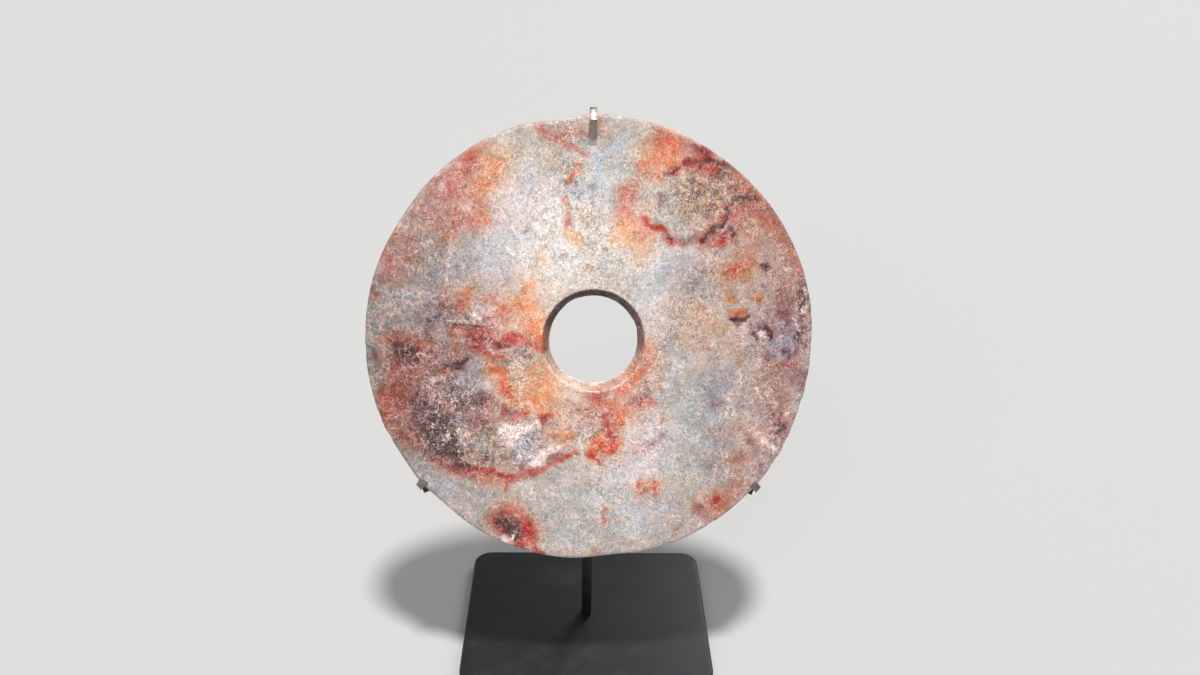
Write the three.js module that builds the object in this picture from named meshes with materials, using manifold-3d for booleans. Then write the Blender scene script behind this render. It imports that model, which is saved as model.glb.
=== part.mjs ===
// A jade bi disc on its display stand. The disc is a flat ring of nephrite, worn out of round at
// its rim, with a hole drilled from both faces that meet in a narrow waist. It leans back in a
// cradle of flat bar: a ring round the back of the hole, an arm to the top of the rim and two
// arms to its lower quarters. Metal clips at the three arm ends hook over the rim, and a square
// stem carries the cradle on a foot plate.
//
// Units are millimetres. +Z is up, the disc faces -Y, and the origin is on the underside of the
// foot plate, straight under the stem.

import * as THREE from "three";
import { mergeVertices } from "three/addons/utils/BufferGeometryUtils.js";
import Module from "manifold-3d";

const wasm = await Module();
wasm.setup();

// ---- Driving dimensions ----

const DISC_RADIUS = 100.4; // before the flats that wear has left on the rim
const DISC_THICKNESS = 12;
const DISC_LEAN_DEG = 19; // back from upright
const DISC_CENTRE_HEIGHT = 156;
const RIM_ARRIS = 1.7; // radius of the worn edges of the rim
const RIM_SWELL = 0.5; // the rim's middle stands this far proud of its edges
// Flats on the outline, with degrees counted from the right-hand side towards the top: where
// each is centred, its half width in degrees and its depth.
const RIM_FLATS = [
  { at: 62, half: 22, depth: 0.3 },
  { at: 99, half: 6.5, depth: 2.1 },
  { at: 147, half: 9, depth: 0.8 },
  { at: 212, half: 7, depth: 0.8 },
  { at: 229, half: 7, depth: 1.1 },
  { at: 276, half: 8, depth: 1.7 },
  { at: 342, half: 9, depth: 1.1 },
  { at: 358, half: 8, depth: 1.0 },
];

const BORE_WAIST_RADIUS = 20.2;
const BORE_MOUTH_RADIUS = 22.2;
const BORE_ARRIS = 0.7;
const BORE_RIDGE = 0.5; // half width of the ridge left where the two drillings meet
const BORE_FRONT_CENTRE = [1.8, 0.1]; // the hole is a little off the middle of the disc
const BORE_BACK_CENTRE = [1.2, 0.6];

const STEPS_AROUND = 120; // facets round the disc
const ARRIS_STEPS = 3;

const FIT_GAP = 0.3; // between pieces that touch or are joined
const BAR_WIDTH = 7.5;
const BAR_THICKNESS = 4.5;
const CRADLE_RING_INNER = 27;
const CRADLE_HUB_TOP = -29; // the hub is the short bar from the ring down to the arms
const CRADLE_HUB_FOOT = -49;
const TOP_ARM_END = 97;
const LOWER_ARM_ROOT = -39;
const LOWER_ARM_END = 103.5; // distance of the arm's end from the disc's centre
const LOWER_ARM_DEG = 48.2; // its place, each side of straight down

const STRIP_WIDTH = 3.2;
const STRIP_THICKNESS = 1.2;
const STRIP_BEND = 1.6;
const TOP_CLIP_DEG = 89.7; // from the right-hand side
const LOWER_CLIP_DEG = 49; // each side of straight down, towards the upper edge of the arm
const TOP_TAB_REACH = 11.2; // from the rim down to the tab's tip
const TOP_CREASE_DROP = 3.6; // from the rim down to the crease of the tab
const TOP_CREASE_PROUD = 4.2; // the crease stands this far off the disc's face
const TOP_LAP = 17; // length of the strip that lies on the back of the top arm
const LOWER_TAB_REACH = 2.6;

const STEM_WIDTH = 4.8;
const FOOT = { width: 120, depth: 100, thickness: 5, corner: 8, chamfer: 0.8 };

// ---- Values worked out from them ----

const rad = THREE.MathUtils.degToRad;
const lean = rad(DISC_LEAN_DEG);
const half = DISC_THICKNESS / 2;
const cradleFront = -half - FIT_GAP; // along the disc's axis, which points forward
const cradleBack = cradleFront - BAR_THICKNESS;
const stemScarfMiddle = (LOWER_ARM_ROOT + CRADLE_HUB_FOOT) / 2 + 3;

// The disc's centre lies so far behind the stem's axis that the cradle's hub meets the stem.
const scarfBack = cradleBack - FIT_GAP;
const discCentreY = scarfBack * Math.cos(lean) - stemScarfMiddle * Math.sin(lean);

// ---- Materials ----

const jade = new THREE.MeshStandardMaterial({
  color: 0xc0a692,
  roughness: 0.42,
  metalness: 0,
});
const blackPaint = new THREE.MeshStandardMaterial({
  color: 0x15161a,
  roughness: 0.5,
  metalness: 0.1,
});
const nickelSilver = new THREE.MeshStandardMaterial({
  color: 0xb9a98f,
  roughness: 0.34,
  metalness: 1,
});

// ---- Shared helpers ----

// A geometry as a manifold-3d solid, and back.
function toSolid(geometry) {
  const bare = geometry.clone();
  bare.deleteAttribute("normal");
  bare.deleteAttribute("uv");
  const merged = mergeVertices(bare, 1e-4);
  return new wasm.Manifold(
    new wasm.Mesh({
      numProp: 3,
      vertProperties: merged.attributes.position.array,
      triVerts: new Uint32Array(merged.index.array),
    }),
  );
}

function toGeometry(solid) {
  const { vertProperties, triVerts } = solid.getMesh();
  const geometry = new THREE.BufferGeometry();
  geometry.setAttribute("position", new THREE.BufferAttribute(vertProperties, 3));
  geometry.setIndex(new THREE.BufferAttribute(triVerts, 1));
  const faceted = geometry.toNonIndexed();
  faceted.computeVertexNormals();
  return faceted;
}

function named(name, geometry, material) {
  const mesh = new THREE.Mesh(geometry, material);
  mesh.name = name;
  return mesh;
}

// ---- The disc ----

// Distance of the rim from the disc's centre, at an angle in radians from +X.
function rimRadius(angle) {
  let radius = DISC_RADIUS;
  for (const flat of RIM_FLATS) {
    const away = THREE.MathUtils.euclideanModulo(angle - rad(flat.at) + Math.PI, 2 * Math.PI);
    const share = (away - Math.PI) / rad(flat.half);
    radius -= flat.depth * Math.exp(-share * share);
  }
  return radius;
}

// Section of the rim from the front face to the back one: inset from the rim, and height.
function rimSection() {
  const section = [];
  for (const side of [1, -1]) {
    for (let i = 0; i <= ARRIS_STEPS; i++) {
      const turn = (Math.PI / 2) * (side > 0 ? 1 - i / ARRIS_STEPS : i / ARRIS_STEPS);
      section.push({
        inset: RIM_SWELL + RIM_ARRIS * (1 - Math.cos(turn)),
        height: side * (half - RIM_ARRIS * (1 - Math.sin(turn))),
      });
    }
    if (side > 0) section.push({ inset: 0, height: 0 });
  }
  return section;
}

// Section of the hole from the back face to the front one: radius, height and centre.
function boreSection() {
  const section = [];
  for (const side of [-1, 1]) {
    const centre = side > 0 ? BORE_FRONT_CENTRE : BORE_BACK_CENTRE;
    const mouth = [
      { radius: BORE_MOUTH_RADIUS + BORE_ARRIS, height: side * half, centre },
      { radius: BORE_MOUTH_RADIUS, height: side * (half - BORE_ARRIS), centre },
    ];
    const waist = { radius: BORE_WAIST_RADIUS, height: side * BORE_RIDGE, centre };
    section.push(...(side < 0 ? [...mouth, waist] : [waist, ...mouth.reverse()]));
  }
  return section;
}

function discGeometry() {
  const loops = [
    ...rimSection().map(({ inset, height }) => (angle) => {
      const radius = rimRadius(angle) - inset;
      return [radius * Math.cos(angle), radius * Math.sin(angle), height];
    }),
    ...boreSection().map(({ radius, height, centre }) => (angle) => [
      centre[0] + radius * Math.cos(angle),
      centre[1] + radius * Math.sin(angle),
      height,
    ]),
  ];
  const positions = [];
  const index = [];
  loops.forEach((pointAt, i) => {
    const next = (i + 1) % loops.length;
    for (let j = 0; j < STEPS_AROUND; j++) {
      positions.push(...pointAt((2 * Math.PI * j) / STEPS_AROUND));
      const across = (j + 1) % STEPS_AROUND;
      const [a, b] = [i * STEPS_AROUND + j, i * STEPS_AROUND + across];
      const [c, d] = [next * STEPS_AROUND + j, next * STEPS_AROUND + across];
      index.push(a, c, b, b, c, d);
    }
  });
  const geometry = new THREE.BufferGeometry();
  geometry.setAttribute("position", new THREE.Float32BufferAttribute(positions, 3));
  geometry.setIndex(index);
  geometry.computeVertexNormals();
  return geometry;
}

// ---- The cradle behind the disc ----

function extrudedBar(shape) {
  const geometry = new THREE.ExtrudeGeometry(shape, {
    depth: BAR_THICKNESS,
    bevelEnabled: false,
    curveSegments: 36,
  });
  return toSolid(geometry.translate(0, 0, cradleBack));
}

// A straight flat bar between two points of the disc's plane, cut square at its ends.
function straightBar(from, to) {
  const along = to.clone().sub(from).normalize();
  const side = new THREE.Vector2(-along.y, along.x).multiplyScalar(BAR_WIDTH / 2);
  const corners = [
    from.clone().sub(side),
    to.clone().sub(side),
    to.clone().add(side),
    from.clone().add(side),
  ];
  return extrudedBar(new THREE.Shape(corners));
}

function ringBar() {
  const shape = new THREE.Shape().absarc(0, 0, CRADLE_RING_INNER + BAR_WIDTH, 0, 2 * Math.PI);
  shape.holes.push(new THREE.Path().absarc(0, 0, CRADLE_RING_INNER, 0, 2 * Math.PI, true));
  return extrudedBar(shape);
}

function cradleGeometry() {
  const point = (x, y) => new THREE.Vector2(x, y);
  const armRoot = point(0, LOWER_ARM_ROOT);
  const ringMiddle = CRADLE_RING_INNER + BAR_WIDTH / 2;
  const bars = [
    ringBar(),
    straightBar(point(0, ringMiddle), point(0, TOP_ARM_END)),
    straightBar(point(0, CRADLE_HUB_TOP), point(0, CRADLE_HUB_FOOT)),
  ];
  for (const side of [-1, 1]) {
    const end = point(side * Math.sin(rad(LOWER_ARM_DEG)), -Math.cos(rad(LOWER_ARM_DEG)));
    bars.push(straightBar(armRoot, end.multiplyScalar(LOWER_ARM_END)));
  }
  return toGeometry(bars.reduce((whole, bar) => whole.add(bar)));
}

// ---- The clips at the rim ----

// A bent strip: its centreline in the plane of the disc's axis and a radius, with rounded bends.
function stripGeometry(centreline, bends) {
  const path = new THREE.Path().moveTo(...centreline[0]);
  for (let i = 1; i < centreline.length - 1; i++) {
    const here = new THREE.Vector2(...centreline[i]);
    const cut = (other) => {
      const away = new THREE.Vector2(...other).sub(here);
      return here.clone().add(away.setLength(Math.min(bends[i - 1], away.length() / 2)));
    };
    const [start, end] = [cut(centreline[i - 1]), cut(centreline[i + 1])];
    path.lineTo(start.x, start.y).quadraticCurveTo(here.x, here.y, end.x, end.y);
  }
  path.lineTo(...centreline.at(-1));
  const points = path.getPoints(4);
  const [outer, inner] = [[], []];
  points.forEach((p, i) => {
    const before = points[Math.max(i - 1, 0)];
    const after = points[Math.min(i + 1, points.length - 1)];
    const along = after.clone().sub(before).normalize();
    const edge = i > 0 ? p.clone().sub(before).normalize() : along;
    const reach = STRIP_THICKNESS / 2 / along.dot(edge);
    const side = new THREE.Vector2(-along.y, along.x).multiplyScalar(reach);
    outer.push(p.clone().add(side));
    inner.push(p.clone().sub(side));
  });
  const geometry = new THREE.ExtrudeGeometry(new THREE.Shape([...inner, ...outer.reverse()]), {
    depth: STRIP_WIDTH,
    bevelEnabled: false,
  });
  // The shape's x runs forward along the disc's axis, its y outward along the radius.
  const axes = new THREE.Matrix4().makeBasis(
    new THREE.Vector3(0, 0, 1),
    new THREE.Vector3(1, 0, 0),
    new THREE.Vector3(0, 1, 0),
  );
  return geometry.translate(0, 0, -STRIP_WIDTH / 2).applyMatrix4(axes);
}

// The top strip laps the back of the top arm, passes over the rim, folds down at a crease and
// comes back until its tip rests against the disc's face.
function topClipGeometry(rim) {
  const overRim = rim + FIT_GAP + STRIP_THICKNESS / 2 + 1;
  const behind = cradleBack - FIT_GAP - STRIP_THICKNESS / 2;
  const atFace = half + FIT_GAP + STRIP_THICKNESS / 2;
  return stripGeometry(
    [
      [behind, TOP_ARM_END - TOP_LAP],
      [behind, overRim],
      [half, overRim],
      [half + TOP_CREASE_PROUD, rim - TOP_CREASE_DROP],
      [atFace, rim - TOP_TAB_REACH],
    ],
    [STRIP_BEND, STRIP_BEND, STRIP_BEND / 4],
  );
}

// A lower strip stands on the front of its arm, passes under the rim and turns up over the face.
function lowerClipGeometry(rim) {
  const underRim = rim + FIT_GAP + STRIP_THICKNESS / 2;
  const atFace = half + FIT_GAP + STRIP_THICKNESS / 2;
  return stripGeometry(
    [
      [cradleFront + FIT_GAP, underRim],
      [atFace, underRim],
      [atFace, rim - LOWER_TAB_REACH],
    ],
    [STRIP_BEND / 2],
  );
}

function clip(name, atDeg, makeGeometry) {
  const mesh = named(name, makeGeometry(rimRadius(rad(atDeg))), nickelSilver);
  mesh.rotation.z = rad(atDeg);
  return mesh;
}

// ---- The stem and the foot ----

// A square bar, its top cut to a long scarf that lies against the back of the cradle's hub.
function stemGeometry() {
  const middle = DISC_CENTRE_HEIGHT + scarfBack * Math.sin(lean) + stemScarfMiddle * Math.cos(lean);
  const scarfRise = STEM_WIDTH / 2 / Math.tan(lean);
  const [front, back] = [-STEM_WIDTH / 2, STEM_WIDTH / 2];
  const foot = FOOT.thickness + FIT_GAP;
  const profile = new THREE.Shape([
    new THREE.Vector2(front, foot),
    new THREE.Vector2(back, foot),
    new THREE.Vector2(back, middle + scarfRise),
    new THREE.Vector2(front, middle - scarfRise),
  ]);
  const geometry = new THREE.ExtrudeGeometry(profile, { depth: STEM_WIDTH, bevelEnabled: false });
  // The profile's x runs along Y and its y along Z, so the bar's width runs along X.
  const axes = new THREE.Matrix4().makeBasis(
    new THREE.Vector3(0, 1, 0),
    new THREE.Vector3(0, 0, 1),
    new THREE.Vector3(1, 0, 0),
  );
  return geometry.translate(0, 0, -STEM_WIDTH / 2).applyMatrix4(axes);
}

function footGeometry() {
  const { width, depth, thickness, corner, chamfer } = FOOT;
  const [x, y] = [width / 2 - chamfer, depth / 2 - chamfer];
  const shape = new THREE.Shape();
  shape.absarc(x - corner, y - corner, corner, 0, Math.PI / 2);
  shape.absarc(corner - x, y - corner, corner, Math.PI / 2, Math.PI);
  shape.absarc(corner - x, corner - y, corner, Math.PI, 1.5 * Math.PI);
  shape.absarc(x - corner, corner - y, corner, 1.5 * Math.PI, 2 * Math.PI);
  const geometry = new THREE.ExtrudeGeometry(shape, {
    depth: thickness - 2 * chamfer,
    bevelSize: chamfer,
    bevelThickness: chamfer,
    bevelSegments: 1,
    curveSegments: 6,
  });
  return geometry.translate(0, 0, chamfer);
}

// ---- Assembly ----

// In the seat's frame X runs right, Y up the disc and Z forward out of its face.
const seat = new THREE.Group();
seat.position.set(0, discCentreY, DISC_CENTRE_HEIGHT);
seat.rotation.x = Math.PI / 2 - lean;
seat.add(
  named("jade_disc", discGeometry(), jade),
  named("cradle_frame", cradleGeometry(), blackPaint),
  clip("top_clip", TOP_CLIP_DEG, topClipGeometry),
  clip("left_clip", 270 - LOWER_CLIP_DEG, lowerClipGeometry),
  clip("right_clip", 270 + LOWER_CLIP_DEG, lowerClipGeometry),
);

const biDisc = new THREE.Group();
biDisc.add(
  seat,
  named("stem", stemGeometry(), blackPaint),
  named("foot_plate", footGeometry(), blackPaint),
);

export default biDisc;
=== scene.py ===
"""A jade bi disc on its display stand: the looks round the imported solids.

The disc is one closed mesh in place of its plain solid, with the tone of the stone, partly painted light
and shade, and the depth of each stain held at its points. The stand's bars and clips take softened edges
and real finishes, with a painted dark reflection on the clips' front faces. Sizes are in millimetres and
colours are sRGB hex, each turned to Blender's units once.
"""

import math
from functools import partial

import bpy
import numpy as np
from bpy.props import FloatProperty, FloatVectorProperty, IntProperty, PointerProperty
from mathutils import Matrix, Vector


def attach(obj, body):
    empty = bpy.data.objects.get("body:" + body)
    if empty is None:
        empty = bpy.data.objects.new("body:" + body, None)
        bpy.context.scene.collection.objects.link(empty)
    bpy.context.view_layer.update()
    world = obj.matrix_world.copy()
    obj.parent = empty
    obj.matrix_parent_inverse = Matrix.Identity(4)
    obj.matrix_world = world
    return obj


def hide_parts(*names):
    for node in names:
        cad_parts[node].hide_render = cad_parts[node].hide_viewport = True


bl_info = {
    "name": "Jade Bi Disc",
    "version": (1, 0, 0),
    "blender": (4, 5, 0),
    "location": "View3D > Sidebar > Bi Disc",
    "description": "Dresses a jade bi disc, its cradle, clips, stem and foot, and sets the stage",
    "category": "Object",
}

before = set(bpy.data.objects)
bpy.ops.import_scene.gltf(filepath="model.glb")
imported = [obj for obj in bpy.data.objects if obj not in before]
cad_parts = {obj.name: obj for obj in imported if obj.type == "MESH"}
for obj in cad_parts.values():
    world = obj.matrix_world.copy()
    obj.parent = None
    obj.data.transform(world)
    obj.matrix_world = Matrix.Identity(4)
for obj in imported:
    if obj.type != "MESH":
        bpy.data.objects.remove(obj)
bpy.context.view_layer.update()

MM = 0.001
BODY = "root"


def to_linear(hex_colour):
    """Linear RGB of an sRGB hex colour."""
    parts = (int(hex_colour[i : i + 2], 16) / 255 for i in (1, 3, 5))
    return tuple(c / 12.92 if c <= 0.04045 else ((c + 0.055) / 1.055) ** 2.4 for c in parts)


# ---- Where the stone's colours lie ----
# Millimetres in the plane of the disc, from its middle, right and up. A mark is its strength in
# percent and one or more (x, y, radius): a spot, or a streak from each to the next.

# Soft tones of the stone under the stains. The ash, clay, umber and grey towards the left and right rims
# are partly painted shade where the light falls off, and the cream above the hole is partly a painted pool
# of light. Each mark has its colour in front.
TONES = [
    ("ash", 85, (-95, 30, 12), (-99, 0, 14), (-92, -40, 12)),
    ("ash", 70, (-80, 30, 14), (-84, 4, 14), (-72, 8, 12)),
    ("ash", 60, (-84, -56, 12), (-66, -74, 12), (-48, -86, 10)),
    ("ash", 45, (-64, 40, 12), (-54, 30, 10), (-56, 10, 12)),
    ("clay", 75, (96, 30, 12), (98, 0, 14), (92, -36, 14)),
    ("clay", 65, (82, 20, 14), (84, -10, 14), (78, -40, 14), (66, -62, 12)),
    ("clay", 50, (66, 34, 12), (64, 10, 14), (60, -8, 10)),
    ("clay", 60, (60, 74, 8), (78, 56, 9), (88, 40, 9)),
    ("ash", 60, (66, -22, 14), (66, -40, 12), (56, -60, 12), (44, -78, 10)),
    ("ash", 40, (50, -14, 10), (48, -40, 12), (34, -88, 8)),
    ("ash", 40, (8, 94, 8), (28, 88, 8), (-26, 88, 8)), ("clay", 50, (-84, 50, 8), (-70, 64, 8)),
    ("umber", 90, (-86, -18, 9), (-88, -30, 8), (-84, -42, 7)), ("umber", 40, (-91, 36, 6), (-86, 46, 6)),
    ("umber", 75, (86, 46, 7), (79, 58, 6)), ("clay", 50, (75, 48, 6)),
    ("umber", 50, (-72, -8, 9), (-66, 6, 8), (-76, -46, 7)), ("umber", 50, (94, 18, 6), (95, 4, 6)),
    ("cream", 90, (0, 46, 26), (-6, 34, 18)), ("cream", 80, (-18, 60, 16), (-20, 42, 16)),
    ("cream", 50, (20, 52, 12), (30, 20, 12)), ("rose_white", 60, (-30, 66, 10), (-34, 52, 9)),
    ("peach", 80, (-30, 14, 9), (-24, 6, 7)), ("peach", 50, (24, -4, 8), (22, -12, 7)),
    ("peach", 55, (-14, -16, 8), (-18, -22, 12), (-12, -38, 8)),
    ("rose_white", 70, (6, -62, 10), (18, -58, 10), (30, -50, 14)), ("rose_white", 60, (22, -38, 10)),
    ("pale_grey", 70, (-8, -72, 18), (-14, -86, 14), (8, -90, 14)),
    ("pale_grey", 60, (-60, -70, 10), (-46, -76, 10), (-80, -54, 6)),
    ("grey", 90, (-90, 14, 12), (-92, -2, 7)), ("grey", 70, (-96, -10, 5), (-93, -20, 4)),
    ("grey", 60, (-80, 12, 9), (-74, 30, 9), (-80, 24, 8)), ("grey", 55, (-66, 38, 9), (-56, 34, 8)),
    ("grey", 50, (-86, -50, 5), (-74, -60, 5)), ("blue_grey", 95, (60, -24, 11), (52, -30, 9)),
    ("blue_grey", 70, (64, -34, 8), (56, -56, 8), (48, -46, 8)),
    ("blue_grey", 50, (60, -12, 6), (40, -20, 6)),
    ("grey_green", 60, (44, -12, 8), (42, -50, 9), (46, -62, 7)),
    ("grey_green", 55, (14, 90, 9), (24, 88, 7)), ("grey_green", 50, (-30, 86, 8), (-18, 78, 7)),
    ("grey_green", 45, (12, 78, 7), (22, 66, 6)),
    ("grey_green", 50, (16, -72, 6), (-5, -71, 5), (24, -88, 6)),
    ("grey_green", 40, (-8, 28, 5), (24, 30, 5)), ("pale_blue", 80, (4, 79, 6), (12, 86, 4)),
    ("pale_blue", 70, (-6, 66, 5), (2, 70, 6), (6, 62, 6)),
    ("pale_blue", 85, (36, 36, 6), (32, 30, 6), (24, 22, 4)), ("pale_blue", 70, (32, 58, 4), (30, 54, 3)),
    ("pale_blue", 60, (-30, 47, 4), (-42, 44, 6), (-42, 34, 6)),
    ("pale_blue", 50, (-26, 72, 5), (-29, 62, 4)), ("pale_blue", 50, (36, 0, 4), (37, -8, 4), (30, -22, 4)),
    ("pale_blue", 60, (18, -76, 4), (24, -80, 6), (18, -84, 4)),
    ("pale_blue", 40, (2, -76, 4), (38, -34, 5), (38, -54, 5)),
    ("tan", 60, (44, 22, 9), (42, 10, 10), (52, 6, 8)), ("tan", 60, (74, 50, 10), (66, 44, 8)),
    ("tan", 50, (50, 30, 7), (56, 20, 8)), ("tan", 50, (60, -4, 8), (70, -10, 7), (66, -46, 6)),
    ("blue_grey", 50, (44, 32, 5), (50, 24, 5), (44, 26, 5)),
    ("rose_brown", 80, (83, -26, 9), (84, -38, 6)), ("rose_brown", 60, (76, -50, 8), (68, -60, 8)),
    ("rose_brown", 60, (84, 12, 8), (86, 24, 7), (84, 38, 7)),
    ("rose_brown", 60, (-82, 40, 8), (-76, 50, 8), (-86, 28, 6)),
    ("mauve_grey", 85, (87, -3, 6), (88, 6, 6)),
    ("mauve_grey", 50, (-64, 10, 8), (-56, -6, 6), (-62, -4, 6)),
    ("olive", 75, (44, 66, 9), (52, 68, 8), (48, 58, 9)), ("olive", 50, (60, 70, 6), (38, 58, 6)),
    ("peach", 95, (22, 46, 6), (14, 48, 4)), ("peach", 80, (18, -16, 6), (12, -34, 4)),
    ("peach", 70, (9, -42, 5), (4, -48, 4)), ("rose_white", 50, (-46, 4, 7)), ("peach", 40, (-56, 18, 5)),
    ("peach", 60, (34, 84, 7), (28, 80, 5)), ("peach", 60, (-43, 77, 6), (-47, 69, 5)),
    ("rose_white", 50, (-56, 58, 7), (-58, 70, 7)), ("peach", 70, (-39, -18, 5), (-22, -24, 8)),
    ("ash", 50, (-62, -68, 8), (-46, -77, 7)),
    ("slate", 80, (-64, -28, 10), (-70, -36, 9), (-58, -44, 9), (-46, -46, 7)),
    ("slate", 70, (-66, -46, 7), (-56, -54, 5), (-60, -16, 5), (-62, -22, 6)),
    ("blue_grey", 70, (-52, -12, 5), (-54, -18, 4)), ("olive", 50, (-44, -46, 6), (-38, -55, 5)),
    ("olive", 45, (-34, -8, 6), (-24, -8, 5)),
    ("pale_blue", 80, (-26, -44, 4), (-31, -48, 4), (-27, -52, 4)),
]

# Yellow iron stain, from peach through orange to ochre brown.
OCHRE = [
    # upper left
    (55, (-42, 79, 3), (-43, 72, 3), (-50, 69, 2)), (35, (-41, 76, 6), (-48, 67, 5)),
    (45, (-47, 53, 1.6), (-50, 59, 2)), (30, (-51, 82, 3), (-47, 86, 2)), (40, (-63, 45, 2)),
    (35, (-86, 47, 2.4)), (30, (-22, 38, 2.4)), (20, (-20, 77, 3)),
    # left of the hole
    (70, (-53, 23, 1.6)), (40, (-56, 19, 3), (-58, 13, 2)), (75, (-60, 1, 2.6), (-59, -3, 1.8)),
    (85, (-25, 6, 4), (-23, 2, 3)), (45, (-31, 16, 3), (-25, 17, 1.6)),
    (40, (-28, 22, 1.6), (-25, 26, 1.6)), (25, (-34, 12, 6), (-30, 22, 5)),
    # under the top clip
    (75, (-5, 77, 1.2), (-7.5, 73, 1)), (65, (-9.5, 48.5, 1.4), (-5, 45.5, 1.6)),
    (20, (-5, 56, 2.4), (2, 54, 3)),
    # upper right
    (55, (36, 87, 3), (35, 82, 3.4)), (45, (26, 78, 4), (25, 85, 4)), (60, (34, 79, 2.4)),
    (35, (12, 52, 3)), (35, (22, 40, 2)), (30, (15, 47, 4)), (35, (20, 35, 1.6)), (30, (26, 60, 2)),
    (35, (50, 62, 5), (56, 60, 3)), (40, (55, 58, 1.6), (47, 66, 2), (42, 58, 2)),
    (40, (64, 73, 3), (68, 69, 2.4)), (25, (76, 58, 4), (86, 46, 3)),
    # spots at the right
    (80, (62.5, 31.5, 4.6), (66, 31, 4.4)), (40, (66, 34, 4), (70, 36, 2)),
    (75, (62, 19.5, 1.7), (64, 19, 1.2)), (70, (75, 19.5, 1.9)), (95, (63, 13.6, 0.9), (69, 13.6, 0.9)),
    (55, (61.5, 7, 1.3)), (30, (54, 9, 3), (48, 14, 4)), (35, (69, -9, 1.5), (66, -5, 2)),
    (30, (42, 1, 2.4), (46, -2, 1.4)), (30, (62, 24, 1.4)),
    # round the lower right of the hole
    (35, (25, -4, 4), (28, -10, 3)), (55, (18, -16, 3), (22, -13, 3)), (60, (31, -18, 1.8), (30, -21, 1.4)),
    (75, (12, -34, 3), (14, -37, 2)), (50, (32.5, -36, 1.5)), (30, (22, -34, 2.4), (16, -31, 2)),
    (75, (4, -47, 3), (2, -50, 2)), (40, (14, -42, 1), (13, -50, 1.6)), (50, (2, -26, 4)),
    (45, (5, -46, 4), (3, -50, 3)), (30, (-1, -22, 2), (3, -24, 2.4)),
    # lower right
    (40, (67, -38, 1.6)), (35, (65, -53, 3)), (40, (43, -63, 1.3)), (40, (60, -69, 4)),
    (40, (57, -73, 3), (62, -75, 3)), (55, (22.5, -66, 1.6), (31, -65, 1.6)), (30, (16, -91, 1.4)),
    (30, (82, -14, 4)),
    # rim of the left spot and its run
    (50, (-91, -1, 1.4), (-85, 2, 1.5), (-78, 2.4, 1.5), (-72, 0, 1.5), (-70, -4, 1.5)),
    (60, (-86, -24, 5), (-90, -32, 5), (-88, -40, 4)),
    # centre left, below the rust band
    (50, (-44, -9, 3), (-46, -12, 2)),
    (95, (-43, -14, 3), (-38, -14, 2.6), (-38, -21, 3), (-33.5, -26, 2.4)),
    (50, (-29, -15, 3), (-21, -14, 4), (-24, -22, 5)), (60, (-27, -25, 2.4), (-22, -29, 3.4)),
    (40, (-16, -20, 4), (-16, -29, 4)), (50, (-17, -33.5, 1.6), (-13, -34, 1.4)),
    (60, (-18, -42, 1.6), (-9, -42, 2.4)), (50, (-12, -46, 2.4), (-7, -44, 2)), (30, (-21, -48, 2)),
    (50, (-37, -57, 1.6), (-35, -58.5, 1)), (35, (-53, -52, 3), (-48, -54, 2)),
    # under the boundary and at the bottom
    (60, (-51, -62, 2), (-45, -63.5, 2.2), (-40, -65, 1.6)),
    (50, (-40, -75, 3), (-34, -76, 3), (-43, -80, 2)), (80, (-27, -84, 3), (-25, -89, 3), (-29, -92, 3)),
    (45, (-29, -90, 4)),
]

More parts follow.
